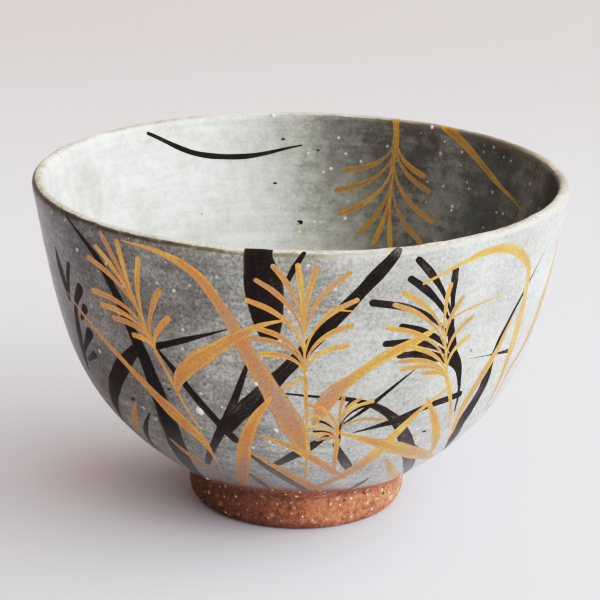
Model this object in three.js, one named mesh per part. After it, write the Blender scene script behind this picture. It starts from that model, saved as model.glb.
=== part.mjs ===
// A tea bowl: one stoneware body, thrown on a wheel and then trimmed underneath. It is hollow
// and empty, with a rounded lip, a wall that thickens towards the floor, and a foot ring.
// Millimetres, +Z up. The origin is on the table, under the middle of the foot ring.
import * as THREE from "three";

// Overall size
const HEIGHT = 75.4;
const RIM_RADIUS = 59.2;
const LIP_THICKNESS = 3.0;

// Outside of the wall: one curve from the top of the foot to the lip. It leaves the foot low
// and outwards, and comes up to the lip leaning a little out from upright.
const WALL_START_RADIUS = 25.0;
const WALL_START_HEIGHT = 8.5;
const WALL_START_RISE_DEG = 33.1;
const WALL_START_PULL = 31.9;
const WALL_LEAN_DEG = 10.35;
const WALL_TOP_PULL = 34.4;

// Inside of the wall: one curve from the lip down to the middle of the floor
const FLOOR_HEIGHT = 13.0;
const INSIDE_TOP_PULL = 40.0;
const INSIDE_FLOOR_PULL = 40.0;

// Foot ring: a flat band that the bowl stands on, a rounded outer corner and a shallow recess
const FOOT_RADIUS = 24.4;
const FOOT_SHOULDER_HEIGHT = 7.9;
const FOOT_CORNER_HEIGHT = 4.0;
const STAND_OUTER_RADIUS = 21.5;
const STAND_INNER_RADIUS = 17.6;
const RECESS_EDGE_RADIUS = 16.9;
const RECESS_EDGE_HEIGHT = 0.8;
const RECESS_RADIUS = 15.6;
const RECESS_DEPTH = 5.0;
const RECESS_DOME = 0.5;

// The rim isn't quite level: it rises and falls twice round the bowl, and a little three times
const RIM_WAVE_TWO = 0.19;
const RIM_WAVE_THREE = -0.12;

// Faces round the bowl, and steps along each curved stretch of its section
const FACES_ROUND = 72;
const WALL_STEPS = 16;
const INSIDE_STEPS = 14;
const LIP_STEPS = 6;
const CORNER_STEPS = 4;
const CEILING_STEPS = 3;

// Glaze over stoneware
const GLAZE_COLOUR = 0x9c9f9a;
const GLAZE_ROUGHNESS = 0.3;

const point = (radius, height) => new THREE.Vector2(radius, height);

function footSection() {
  const ceilingMiddle = point(0, RECESS_DEPTH + RECESS_DOME);
  const ceilingEdge = point(RECESS_RADIUS, RECESS_DEPTH);
  const ceilingTurn = point(RECESS_RADIUS / 2, RECESS_DEPTH + RECESS_DOME);
  const ceiling = new THREE.QuadraticBezierCurve(ceilingMiddle, ceilingTurn, ceilingEdge);
  const cornerWidth = FOOT_RADIUS - STAND_OUTER_RADIUS;
  const corner = new THREE.EllipseCurve(
    STAND_OUTER_RADIUS, FOOT_CORNER_HEIGHT, cornerWidth, FOOT_CORNER_HEIGHT, -Math.PI / 2, 0);
  return [
    ...ceiling.getPoints(CEILING_STEPS),
    point(RECESS_EDGE_RADIUS, RECESS_EDGE_HEIGHT),
    point(STAND_INNER_RADIUS, 0),
    ...corner.getPoints(CORNER_STEPS),
    point(FOOT_RADIUS, FOOT_SHOULDER_HEIGHT),
  ];
}

function wallSection() {
  const lipRadius = LIP_THICKNESS / 2;
  const lean = THREE.MathUtils.degToRad(WALL_LEAN_DEG);
  const rise = THREE.MathUtils.degToRad(WALL_START_RISE_DEG);
  const upWall = point(Math.sin(lean), Math.cos(lean));
  const acrossLip = point(Math.cos(lean), -Math.sin(lean)).multiplyScalar(lipRadius);
  const lipCentre = point(RIM_RADIUS - lipRadius, HEIGHT - lipRadius);
  const outerTop = lipCentre.clone().add(acrossLip);
  const innerTop = lipCentre.clone().sub(acrossLip);

  const outerStart = point(WALL_START_RADIUS, WALL_START_HEIGHT);
  const startPull = point(Math.cos(rise), Math.sin(rise)).multiplyScalar(WALL_START_PULL);
  const outside = new THREE.CubicBezierCurve(
    outerStart,
    outerStart.clone().add(startPull),
    outerTop.clone().addScaledVector(upWall, -WALL_TOP_PULL),
    outerTop);
  const lip = new THREE.EllipseCurve(
    lipCentre.x, lipCentre.y, lipRadius, lipRadius, -lean, Math.PI - lean);
  const inside = new THREE.CubicBezierCurve(
    innerTop,
    innerTop.clone().addScaledVector(upWall, -INSIDE_TOP_PULL),
    point(INSIDE_FLOOR_PULL, FLOOR_HEIGHT),
    point(0, FLOOR_HEIGHT));
  return [
    ...outside.getPoints(WALL_STEPS),
    ...lip.getPoints(LIP_STEPS).slice(1, -1),
    ...inside.getPoints(INSIDE_STEPS),
  ];
}

// Lift of the uneven rim at a point: none at the foot, all of it at the lip
function rimLift(x, y, z) {
  const turn = Math.atan2(y, x);
  const share = THREE.MathUtils.smoothstep(z, WALL_START_HEIGHT, HEIGHT);
  return share * (RIM_WAVE_TWO * Math.cos(2 * turn) + RIM_WAVE_THREE * Math.sin(3 * turn));
}

function bowlGeometry() {
  const geometry = new THREE.LatheGeometry([...footSection(), ...wallSection()], FACES_ROUND);
  geometry.rotateX(Math.PI / 2);
  const places = geometry.getAttribute("position");
  for (let i = 0; i < places.count; i += 1) {
    const z = places.getZ(i);
    places.setZ(i, z + rimLift(places.getX(i), places.getY(i), z));
  }
  geometry.computeVertexNormals();
  return geometry;
}

const glaze = new THREE.MeshStandardMaterial({
  color: GLAZE_COLOUR,
  roughness: GLAZE_ROUGHNESS,
  metalness: 0,
});

const teaBowl = new THREE.Mesh(bowlGeometry(), glaze);
teaBowl.name = "tea_bowl";

const part = new THREE.Group();
part.add(teaBowl);

export default part;
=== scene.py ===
import math
import random

import bpy
import numpy as np
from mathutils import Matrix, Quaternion, Vector
from mathutils.bvhtree import BVHTree
from mathutils.geometry import delaunay_2d_cdt, interpolate_bezier
from mathutils.kdtree import KDTree


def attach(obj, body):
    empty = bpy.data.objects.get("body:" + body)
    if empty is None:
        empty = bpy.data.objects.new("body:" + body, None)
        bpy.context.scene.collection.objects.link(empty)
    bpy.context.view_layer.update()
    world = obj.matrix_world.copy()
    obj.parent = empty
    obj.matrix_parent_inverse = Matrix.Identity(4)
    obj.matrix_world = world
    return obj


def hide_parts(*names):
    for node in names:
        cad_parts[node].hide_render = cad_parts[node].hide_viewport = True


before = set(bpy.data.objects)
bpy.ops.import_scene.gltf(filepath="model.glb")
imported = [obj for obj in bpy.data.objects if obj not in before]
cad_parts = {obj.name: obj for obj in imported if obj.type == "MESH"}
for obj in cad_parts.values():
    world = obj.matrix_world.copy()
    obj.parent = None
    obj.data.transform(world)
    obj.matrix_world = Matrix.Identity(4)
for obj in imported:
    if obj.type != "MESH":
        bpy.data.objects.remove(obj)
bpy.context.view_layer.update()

# The view
# A long lens looks down at the painted side of the bowl from a little above its rim. The
# camera is turned a touch, so that the bowl's right side stands a little lower in the frame.
PHOTO_SIDE = 600
SENSOR_MM = 36.0
LENS_MM = 144.4
CAMERA_DISTANCE = 0.540
CAMERA_RISE = math.radians(18.08)
CAMERA_ROLL = math.radians(1.02)
CAMERA_AIM = Vector((0.00016, 0.0, 0.04607))


def new_object(name, data):
    """A new object in the scene."""
    made = bpy.data.objects.new(name, data)
    bpy.context.scene.collection.objects.link(made)
    return made


camera_data = bpy.data.cameras.new("photo_camera")
camera_data.lens = LENS_MM
camera_data.sensor_width = SENSOR_MM
camera = new_object("photo_camera", camera_data)
bpy.context.scene.camera = camera
camera_back = Vector((0.0, -math.cos(CAMERA_RISE), math.sin(CAMERA_RISE)))
camera_turn = (-camera_back).to_track_quat("-Z", "Y") @ Quaternion((0, 0, 1), CAMERA_ROLL)
camera.location = CAMERA_AIM + CAMERA_DISTANCE * camera_back
camera.rotation_mode = "QUATERNION"
camera.rotation_quaternion = camera_turn

# The body of the bowl
# One stoneware body, thrown on a wheel and trimmed underneath: a rounded lip, a wall that
# thickens towards the floor, and a foot ring. It is dipped in a mottled grey glaze, and the
# foot is left bare. Sizes here are in millimetres until the mesh is made.
MM = 0.001
HEIGHT = 75.4
RIM_RADIUS = 59.2
LIP_RADIUS = 1.5
WALL_START = Vector((25.0, 8.5))
WALL_START_RISE = math.radians(33.1)
WALL_START_PULL = 31.9
WALL_LEAN = math.radians(10.35)
WALL_TOP_PULL = 34.4
FLOOR_HEIGHT = 13.0
INSIDE_TOP_PULL = 40.0
INSIDE_FLOOR_PULL = 40.0
FOOT_RADIUS = 24.4
FOOT_SHOULDER_HEIGHT = 7.9
FOOT_CORNER_HEIGHT = 4.0
STAND_OUTER_RADIUS = 21.5
STAND_INNER_RADIUS = 17.6
RECESS_EDGE = Vector((16.9, 0.8))
RECESS_RADIUS = 15.6
RECESS_DEPTH = 5.0
RECESS_DOME = 0.5
RIM_WAVE_TWO = -0.19
RIM_WAVE_THREE = -0.12
CURVE_STEPS = 200
ARC_STEPS = 24


def arc(centre, across, up, start, end):
    """Points on part of an ellipse, from one angle to another."""
    angles = np.linspace(start, end, ARC_STEPS + 1)
    return [centre + Vector((across * math.cos(angle), up * math.sin(angle))) for angle in angles]


def bowl_section():
    """The bowl's half section, as (radius, height) points from under its middle to its floor."""
    ceiling_middle = Vector((0.0, RECESS_DEPTH + RECESS_DOME))
    ceiling_turn = Vector((RECESS_RADIUS / 2, RECESS_DEPTH + RECESS_DOME))
    ceiling_edge = Vector((RECESS_RADIUS, RECESS_DEPTH))
    ceiling = interpolate_bezier(
        ceiling_middle, ceiling_middle.lerp(ceiling_turn, 2 / 3),
        ceiling_edge.lerp(ceiling_turn, 2 / 3), ceiling_edge, ARC_STEPS)
    corner = arc(Vector((STAND_OUTER_RADIUS, FOOT_CORNER_HEIGHT)),
                 FOOT_RADIUS - STAND_OUTER_RADIUS, FOOT_CORNER_HEIGHT, -math.pi / 2, 0.0)

    up_wall = Vector((math.sin(WALL_LEAN), math.cos(WALL_LEAN)))
    lip_middle = Vector((RIM_RADIUS - LIP_RADIUS, HEIGHT - LIP_RADIUS))
    lip = arc(lip_middle, LIP_RADIUS, LIP_RADIUS, -WALL_LEAN, math.pi - WALL_LEAN)
    start_way = Vector((math.cos(WALL_START_RISE), math.sin(WALL_START_RISE)))
    outside = interpolate_bezier(
        WALL_START, WALL_START + start_way * WALL_START_PULL,
        lip[0] - up_wall * WALL_TOP_PULL, lip[0], CURVE_STEPS)
    inside = interpolate_bezier(
        lip[-1], lip[-1] - up_wall * INSIDE_TOP_PULL,
        Vector((INSIDE_FLOOR_PULL, FLOOR_HEIGHT)), Vector((0.0, FLOOR_HEIGHT)), CURVE_STEPS)
    return np.array([
        *ceiling, RECESS_EDGE, Vector((STAND_INNER_RADIUS, 0.0)), *corner,
        Vector((FOOT_RADIUS, FOOT_SHOULDER_HEIGHT)), *outside, *lip[1:-1], *inside])


# Stations run along the section, from under the middle, over the lip, to the floor's middle
section = bowl_section()
stations = np.concatenate([[0.0], np.cumsum(np.linalg.norm(np.diff(section, axis=0), axis=1))])
FLOOR_STATION = stations[-1]
CREST_STATION = stations[section[:, 1].argmax()]


def station_of(spot):
    """The station of one of the section's corners."""
    return stations[np.abs(section - np.array(spot)).sum(axis=1).argmin()]


FOOT_STATION = station_of(RECESS_EDGE)
SHOULDER_STATION = station_of((FOOT_RADIUS, FOOT_SHOULDER_HEIGHT))

# The surface is worked on as a flat sheet: turn round the bowl across, station up. The turn is
# counted from the side that faces the camera, and the sheet's edges meet at the back left.
SHEET_RADIUS = 50.0
SEAM_TURN = math.radians(-120.0)
LOOK_UP_STEPS = 6000
INWARD_STEP = 0.998
look_up_stations = np.linspace(0.0, FLOOR_STATION, LOOK_UP_STEPS)
look_up_section = np.stack(
    [np.interp(look_up_stations, stations, column) for column in section.T], axis=1)
cad_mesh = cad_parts["tea_bowl"].data
cad_tree = BVHTree.FromPolygons(
    [vertex.co for vertex in cad_mesh.vertices], [face.vertices for face in cad_mesh.polygons])


def sheet_turn(turn):
    """A turn round the bowl, in the range that the sheet covers."""
    return (turn - SEAM_TURN) % math.tau + SEAM_TURN


def sheet_stretch(station):
    """How much wider the bowl is than the sheet, at a station."""
    return np.interp(station, stations, section[:, 0]) / SHEET_RADIUS


def seen_at(pixel):
    """The place and normal that the photo shows at a pixel; past the bowl's edge, the nearest."""
    middle = PHOTO_SIDE / 2
    focal = PHOTO_SIDE * LENS_MM / SENSOR_MM
    aside = Vector((pixel[0] - middle, middle - pixel[1]))
    place = None
    while place is None:
        ray = camera_turn @ Vector((aside.x / focal, aside.y / focal, -1.0))
        place, normal, *_ = cad_tree.ray_cast(camera.location, ray)
        aside *= INWARD_STEP
    return place, normal


def on_bowl(pixel):
    """The sheet point that the photo shows at a pixel."""
    place, _ = seen_at(pixel)
    spot = np.array([math.hypot(place.x, place.y), place.z]) / MM
    number = np.linalg.norm(look_up_section - spot, axis=1).argmin()
    turn = sheet_turn(math.atan2(place.x, -place.y))
    return turn * SHEET_RADIUS, look_up_stations[number]


def outside_at(turn_and_height):
    """The sheet point on the outside at a turn in degrees and a height in millimetres."""
    turn_degrees, height = turn_and_height
    outer = (stations > SHOULDER_STATION) & (stations <= CREST_STATION)
    station = np.interp(height, section[outer, 1], stations[outer])
    return sheet_turn(math.radians(turn_degrees)) * SHEET_RADIUS, station


# The painting
# Autumn grasses, brushed on over the glaze in brown-black and then in gold, inside and out.
# Each stroke is one pull of the brush: a blade swells and thins along its line, and a plume is
# a spray of short strokes that leave one stem and bend outwards.
GLAZE, GOLD, BLACK, CLAY = range(4)
BRUSH_STEP = 0.7
FEWEST_STEPS = 5
CAP_STEPS = 5
HAND_WAVER = 0.04
WAVER_PITCH = (0.5, 0.9)
WAVER_START = 6
STREAK_START = 200
THINNEST_LINE = 0.12
FINGER_SHARES = (0.95, 1.05, 0.75, 0.45, 0.28)
FINGER_TONES = {GOLD: 0.7, BLACK: 0.35}
FINGER_RISE = 0.4
FINGER_LEAN = 0.12
STEM_WIDTH = 0.5
STEM_TONE = 0.2
PAINTER_SEED = 11
strokes = []
painter = random.Random(PAINTER_SEED)


def smooth(at, knots, values):
    """A smooth line through rows of values at knots, read off at other places."""
    slope = np.gradient(values, knots, axis=0)
    first = np.clip(np.searchsorted(knots, at, side="right") - 1, 0, len(knots) - 2)
    last = first + 1
    span = (knots[last] - knots[first])[:, None]
    gone = (at - knots[first])[:, None] / span
    left = 1 - gone
    start = (1 + 2 * gone) * left ** 2 * values[first] + gone * left ** 2 * span * slope[first]
    end = gone ** 2 * (3 - 2 * gone) * values[last] - gone ** 2 * left * span * slope[last]
    return start + end


def pull_brush(line, paint):
    """Adds one stroke along rows of sheet place, width in millimetres and tone."""
    line = np.array(line, float)
    steps = np.diff(line[:, :2], axis=0)
    steps[:, 0] *= sheet_stretch((line[1:, 1] + line[:-1, 1]) / 2)
    knots = np.concatenate([[0.0], np.cumsum(np.linalg.norm(steps, axis=1))])
    along = np.linspace(0.0, knots[-1], max(FEWEST_STEPS, int(knots[-1] / BRUSH_STEP)) + 1)
    run = smooth(along, knots, line)
    spine = run[:, :2]
    stretch = np.stack([sheet_stretch(spine[:, 1]), np.ones(len(spine))], axis=1)
    pitch, start = painter.uniform(*WAVER_PITCH), painter.uniform(0, WAVER_START)
    waver = 1 + HAND_WAVER * np.sin(along * pitch + start)
    half = np.maximum(run[:, 2], THINNEST_LINE) / 2 * waver
    ahead = np.gradient(spine, along, axis=0) * stretch
    ahead /= np.linalg.norm(ahead, axis=1)[:, None]
    aside = np.stack([-ahead[:, 1], ahead[:, 0]], axis=1)
    turns = np.linspace(0.0, math.pi, CAP_STEPS + 1)[1:-1, None]
    cap = [spine[end] + half[end] * way / stretch[end] * (
        aside[end] * np.cos(turns) + ahead[end] * np.sin(turns)) for end, way in ((0, -1), (-1, 1))]
    reach = aside * half[:, None] / stretch
    strokes.append({
        "paint": paint, "spine": spine, "aside": aside, "half": half, "stretch": stretch,
        "edge": np.concatenate([spine + reach, cap[1], (spine - reach)[::-1], cap[0]]),
        "along": along + painter.uniform(0, STREAK_START), "tone": run[:, 3].clip(0, 1)})


def placed(line, place=on_bowl):
    """Rows of across, down, width and tone, with each place taken to the sheet."""
    return [(*place(row[:2]), *row[2:]) for row in line]


def blade(line, paint, place=on_bowl):
    """A blade or stem: rows of across, down, width and tone, in pixels or as place takes them."""
    pull_brush(placed(line, place), paint)


def plume(hub, crown, tips, width, paint, place=on_bowl):
    """Strokes that leave a stem between its hub and its crown, and bend out to tips."""
    hub, crown, tips = (np.array(spots, float) for spots in (hub, crown, tips))
    stem = crown - hub
    reach = ((tips - hub) @ stem).clip(0)
    steps = np.linspace(0.0, 1.0, len(FINGER_SHARES))[:, None]
    for tip, share in zip(tips, reach / reach.max()):
        joint = hub + stem * share ** 2
        rise = stem / np.linalg.norm(stem) * np.linalg.norm(tip - joint) * FINGER_RISE
        turn = joint + rise + (tip - joint) * FINGER_LEAN
        curve = (1 - steps) ** 2 * tip + 2 * steps * (1 - steps) * turn + steps ** 2 * joint
        tone = painter.uniform(0.0, FINGER_TONES[paint])
        blade([(*spot, width * swell, tone) for spot, swell in zip(curve, FINGER_SHARES)],
              paint, place)
    blade([(*end, STEM_WIDTH, STEM_TONE) for end in (crown, hub)], paint, place)


def paint_blades(blades, paint, place=on_bowl):
    """All the blades and stems of one paint."""
    for line in blades.values():
        blade(line, paint, place)


def paint_plumes(plumes, paint, place=on_bowl):
    """All the plumes of one paint."""
    for sprig in plumes.values():
        plume(**sprig, paint=paint, place=place)


# Brown-black blades: (across, down) in the photo, width in millimetres, and greyness, which is higher
# on the low strokes near the foot, partly as painted reflection of the table
BLACK_BLADES = {
    "long left": ((66, 212, 0.2, 0.0), (98, 260, 2.0, 0.0), (130, 326, 2.9, 0.0),
                  (153, 380, 3.8, 0.0), (170, 426, 4.9, 0.1), (207, 479, 3.0, 0.2)),
    "left hook": ((135, 350, 2.6, 0.0), (121, 369, 4.0, 0.0), (114, 392, 3.4, 0.1),
                  (124, 421, 0.7, 0.3)),
    "left sliver": ((150, 413, 0.4, 0.4), (146, 430, 1.4, 0.4), (157, 453, 0.8, 0.4)),
    "left plume tip": ((56, 249, 0.6, 0.0), (60, 266, 3.0, 0.0), (70, 300, 1.0, 0.0)),
    "left plume finger": ((69, 265, 1.5, 0.0), (68, 280, 1.6, 0.0), (70, 297, 0.8, 0.0)),
    "left plume stem": ((80, 289, 2.6, 0.0), (76, 307, 1.7, 0.0), (79, 330, 2.5, 0.2),
                        (89, 368, 1.2, 0.4)),
    "left plume upper bud": ((85, 309, 2.4, 0.0), (82, 319, 1.0, 0.0)),
    "left plume lower bud": ((90, 333, 2.7, 0.0), (85, 352, 0.8, 0.2)),
    "left plume last bud": ((95, 355, 1.8, 0.3), (89, 360, 0.9, 0.5)),
    "left spike": ((157, 346, 1.7, 0.1), (190, 338, 1.2, 0.2), (229, 328, 0.1, 0.2)),
    "crossing stem": ((159, 351, 0.8, 0.0), (176, 372, 1.6, 0.1), (200, 402, 1.9, 0.2),
                      (236, 440, 2.0, 0.2)),
    "rising stem": ((208, 463, 1.3, 0.3), (221, 430, 2.0, 0.3), (231, 408, 1.8, 0.3),
                    (248, 362, 0.9, 0.2)),
    "small hook at rim": ((304, 253, 0.9, 0.3), (294, 267, 1.3, 0.0), (286, 283, 0.9, 0.0)),
    "long sweep": ((399, 249, 1.4, 1.0), (393, 257, 2.5, 0.3), (362, 290, 2.8, 0.1),
                   (326, 328, 3.1, 0.1), (297, 358, 2.9, 0.2), (262, 392, 3.7, 0.3),
                   (225, 427, 3.7, 0.3)),
    "right plume stem": ((450, 318, 1.4, 0.1), (452, 346, 1.8, 0.1), (458, 366, 1.9, 0.1),
                         (459, 386, 0.9, 0.1), (454, 411, 0.4, 0.2)),
    "long right": ((549, 242, 0.15, 0.3), (530, 280, 0.7, 0.2), (510, 318, 1.2, 0.1),
                   (495, 350, 1.6, 0.1), (484, 383, 3.0, 0.2), (461, 422, 3.6, 0.5),
                   (438, 457, 0.4, 0.7)),
    "right hair": ((466, 359, 0.1, 0.3), (490, 355, 0.35, 0.3), (508, 351, 1.2, 0.4)),
    "fine right": ((416, 368, 0.2, 0.2), (400, 381, 0.6, 0.2), (374, 402, 1.1, 0.2),
                   (344, 423, 0.4, 0.2)),
    "belt": ((287, 393, 0.5, 0.3), (315, 396, 0.7, 0.3), (350, 399, 1.1, 0.2),
             (376, 406, 1.6, 0.3), (394, 418, 2.3, 0.6), (406, 441, 3.3, 0.8),
             (409, 462, 3.0, 0.9), (404, 477, 1.2, 0.9)),
    "right bar": ((459, 394, 1.9, 0.1), (420, 409, 1.9, 0.4), (400, 419, 2.3, 0.6),
                  (380, 425, 1.3, 0.6), (354, 432, 0.3, 0.3)),
    "low middle": ((270, 467, 0.9, 0.4), (290, 457, 2.4, 0.3), (312, 445, 2.2, 0.3),
                   (328, 435, 0.9, 0.3)),
    "low right": ((335, 444, 1.1, 0.3), (343, 459, 2.2, 0.3), (350, 470, 1.8, 0.5)),
    "low left band": ((249, 452, 1.2, 0.6), (275, 471, 2.6, 0.6), (304, 489, 1.4, 0.5)),
    "low left patch": ((250, 474, 1.0, 0.7), (262, 483, 1.6, 0.7), (269, 488, 0.6, 0.7)),
    "low right patch": ((368, 478, 0.8, 0.7), (359, 484, 1.8, 0.8), (350, 489, 0.8, 0.8)),
    "inside line": ((148, 133, 0.9, 0.1), (200, 154, 1.4, 0.1), (245, 156, 1.3, 0.1),
                    (302, 145, 0.3, 0.2)),
}

# The broad band starts inside the lip, so it is carried over the rim from its first pixel: how
# far past it, how wide there, and its tone
RIM_BAND = ((258, 254, 6.0, 0.0), (262, 276, 7.4, 0.0), (266, 306, 7.4, 0.0), (269, 332, 4.4, 0.1))
RIM_BAND_OVER = ((4.6, 1.4, 0.1), (2.2, 5.4, 0.1))
SPOT_HALF = 1
SPOT_TONE = 0.4
DARK_SPOTS = ((300, 222, 1.0), (283, 139, 0.5), (275, 183, 0.5), (318, 150, 0.4), (133, 399, 0.8),
              (169, 389, 0.5), (424, 431, 0.6), (388, 451, 0.5), (416, 446, 0.5))
BLACK_PLUMES = {
    "right": {"hub": (458, 376), "crown": (452, 318), "width": 1.65, "tips": (
        (419, 259), (411, 278), (373, 302), (402, 326), (386, 343), (400, 355), (417, 358),
        (456, 269))},
    "low": {"hub": (339, 443), "crown": (340, 425), "width": 0.6, "tips": (
        (353, 398), (370, 404), (313, 419), (314, 431), (321, 439))},
}

paint_blades(BLACK_BLADES, BLACK)
rim_band = placed(RIM_BAND)
over_rim = [(rim_band[0][0], rim_band[0][1] + past, *brush) for past, *brush in RIM_BAND_OVER]
pull_brush([*over_rim, *rim_band], BLACK)
paint_plumes(BLACK_PLUMES, BLACK)
for across, down, width in DARK_SPOTS:
    ends = (across - SPOT_HALF, across + SPOT_HALF)
    blade([(end, down, width, SPOT_TONE) for end in ends], BLACK)

# Gold blades: (across, down) in the photo, width in millimetres, and how thin and pink
GOLD_BLADES = {
    "left stem": ((68, 293, 0.4, 0.7), (90, 323, 1.0, 0.6), (120, 357, 1.5, 0.5),
                  (150, 389, 2.2, 0.4), (181, 420, 3.7, 0.3), (204, 442, 2.0, 0.2),
                  (213, 455, 0.8, 0.2), (224, 474, 0.5, 0.3)),
    "lower left stem": ((171, 439, 0.7, 0.8), (186, 452, 1.7, 0.7), (203, 464, 1.9, 0.7),
                        (225, 480, 1.3, 0.8)),
    "left plume stem": ((156, 351, 1.0, 0.2), (170, 378, 0.8, 0.1), (186, 407, 0.6, 0.1),
                        (200, 428, 0.3, 0.1)),
    "long pink": ((121, 240, 0.2, 0.0), (158, 251, 1.2, 0.1), (193, 271, 2.2, 0.3),
                  (222, 308, 2.5, 0.8), (247, 351, 3.4, 1.0), (275, 397, 4.6, 1.0),
                  (294, 429, 5.0, 0.9), (309, 458, 0.8, 0.2)),
    "bow": ((271, 397, 0.8, 0.1), (257, 415, 2.1, 0.3), (246, 440, 3.0, 0.5),
            (243, 463, 3.1, 0.7), (244, 484, 2.4, 0.8)),
    "low upper": ((256, 434, 0.4, 0.3), (285, 444, 1.4, 0.4), (312, 458, 2.1, 0.4),
                  (336, 473, 1.8, 0.6)),
    "low middle": ((250, 452, 0.6, 0.4), (280, 469, 1.8, 0.4), (305, 483, 2.6, 0.5),
                   (320, 491, 1.6, 0.7)),
    "low lower": ((250, 469, 0.5, 0.8), (262, 479, 1.0, 0.8), (279, 489, 1.0, 0.9)),
    "wide left": ((177, 394, 0.5, 0.1), (179, 379, 2.6, 0.4), (193, 363, 3.9, 0.5),
                  (216, 348, 3.2, 0.3), (240, 334, 2.0, 0.5), (262, 324, 1.1, 0.1),
                  (290, 318, 0.4, 0.0)),
    "middle plume stem": ((305, 376, 1.0, 0.3), (306, 400, 0.8, 0.3), (307, 440, 0.6, 0.3),
                          (305, 478, 0.5, 0.4)),
    "middle plume spur": ((283, 387, 0.8, 0.1), (304, 377, 0.5, 0.2)),
    "middle hair": ((363, 311, 0.2, 0.0), (340, 309, 0.4, 0.1), (316, 308, 0.2, 0.1)),
    "wide right": ((440, 326, 0.6, 0.0), (415, 341, 2.2, 0.1), (385, 356, 2.6, 0.2),
                   (355, 376, 2.4, 0.6), (335, 391, 3.8, 1.0), (322, 408, 3.4, 1.0),
                   (313, 425, 0.8, 0.8)),
    "low plume stem": ((337, 440, 1.2, 0.2), (335, 458, 1.0, 0.4), (333, 474, 0.8, 0.6)),
    "long low right": ((453, 383, 0.6, 0.0), (420, 410, 1.3, 0.2), (393, 436, 2.5, 0.1),
                       (362, 464, 3.6, 0.4), (335, 479, 2.4, 0.6), (312, 489, 1.0, 0.8)),
    "leaf to right": ((341, 433, 0.8, 0.1), (365, 439, 1.8, 0.2), (395, 447, 3.7, 0.4),
                      (415, 453, 3.9, 0.5), (432, 457, 1.0, 0.5)),
    "right bow": ((427, 399, 0.9, 0.4), (434, 418, 1.7, 0.2), (436, 433, 2.3, 0.2),
                  (428, 456, 1.4, 0.4)),
    "right stub": ((386, 459, 1.0, 0.5), (392, 473, 2.4, 0.5), (397, 484, 1.6, 0.6)),
    "arch": ((424, 283, 0.6, 0.0), (455, 267, 0.9, 0.0), (487, 252, 1.7, 0.0),
             (505, 248.5, 2.0, 0.1), (521, 255, 2.3, 0.2), (528.5, 271, 1.8, 0.1),
             (525, 293, 1.9, 0.1), (518, 325, 3.0, 0.2), (505, 365, 2.2, 0.3),
             (483, 410, 0.8, 0.6)),
    "beside long right": ((511, 320, 0.8, 0.3), (497, 350, 1.9, 0.1), (480, 378, 2.5, 0.4),
                          (463, 406, 2.0, 0.3), (446, 441, 0.6, 0.4)),
    "right plume stem": ((447, 378, 1.2, 0.0), (450, 398, 1.0, 0.1), (448, 427, 0.5, 0.3)),
    "inside plume stem": ((398, 117, 1.6, 0.2), (396, 140, 1.6, 0.3), (392, 168, 1.1, 0.3)),
    "inside blade": ((447, 127, 2.6, 0.0), (468, 148, 1.9, 0.1), (498, 184, 1.2, 0.2),
                     (522, 211, 0.3, 0.4)),
    "right plume whisker": ((503, 294, 0.3, 0.2), (482, 303, 0.5, 0.1), (460, 313, 0.6, 0.1),
                            (438, 327, 0.6, 0.0)),
    "far right": ((558, 236, 0.4, 0.2), (555, 254, 2.8, 0.3), (549, 277, 5.2, 0.3),
                  (542, 299, 6.2, 0.4), (534, 322, 5.0, 0.4), (524, 344, 3.2, 0.4),
                  (508, 371, 1.6, 0.4), (484, 413, 0.6, 0.6)),
}
GOLD_PLUMES = {
    "left": {"hub": (156, 351), "crown": (136, 305), "width": 1.35, "tips": (
        (89, 258), (96, 247), (101, 234), (117, 242), (138, 259), (159, 290), (168, 318),
        (93, 291), (102, 305), (114, 318), (134, 335))},
    "middle": {"hub": (305, 376), "crown": (304, 328), "width": 1.2, "tips": (
        (247, 299), (256, 279), (273, 265), (298, 264), (317, 266), (350, 272), (357, 299),
        (352, 324), (347, 345), (256, 327), (250, 337), (261, 353))},
    "right": {"hub": (447, 380), "crown": (444, 332), "width": 1.15, "tips": (
        (404, 292), (395, 304), (388, 327), (410, 346), (400, 361), (402, 369), (424, 373),
        (451, 284), (463, 297), (472, 317), (469, 336))},
    "low": {"hub": (337, 442), "crown": (338, 424), "width": 0.8, "tips": (
        (309, 426), (308, 404), (309, 414), (322, 407), (344, 396), (361, 398), (373, 401),
        (384, 419), (311, 434), (317, 440))},
    "inside": {"hub": (397, 132), "crown": (391, 190), "width": 1.3, "tips": (
        (346, 170), (337, 190), (341, 213), (360, 232), (373, 243), (390, 247), (420, 242),
        (432, 221), (429, 191), (424, 176))},
}
LEFT_SMUDGE = ((136, 402, 0.5, 0.6), (135, 416, 1.6, 0.7), (137, 431, 1.8, 0.7))

paint_blades(GOLD_BLADES, GOLD)
paint_plumes(GOLD_PLUMES, GOLD)
blade(LEFT_SMUDGE, GOLD)

# The sides not in the photo are plainer: turn in degrees, height, width and tone
BACK_BLACK_BLADES = {
    "broad": ((207, 75, 2.6, 0.0), (200, 55, 4.2, 0.0), (190, 36, 3.6, 0.1), (183, 20, 1.0, 0.3)),
    "bent": ((143, 70, 0.3, 0.0), (150, 52, 1.6, 0.0), (149, 34, 2.2, 0.1), (141, 19, 0.9, 0.3)),
    "right side": ((119, 66, 0.3, 0.0), (112, 46, 1.8, 0.1), (102, 26, 1.6, 0.2)),
    "left side": ((-93, 73, 0.3, 0.0), (-103, 58, 2.2, 0.0), (-109, 38, 3.0, 0.1),
                  (-106, 17, 0.9, 0.3)),
    "plume stem": ((222, 31, 0.9, 0.1), (217, 15, 0.6, 0.4)),
}
BACK_BLACK_PLUMES = {
    "back": {"hub": (222, 30), "crown": (221, 46), "width": 1.3, "tips": (
        (208, 57), (214, 64), (222, 67), (230, 62), (234, 53), (210, 48))},
}
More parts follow.
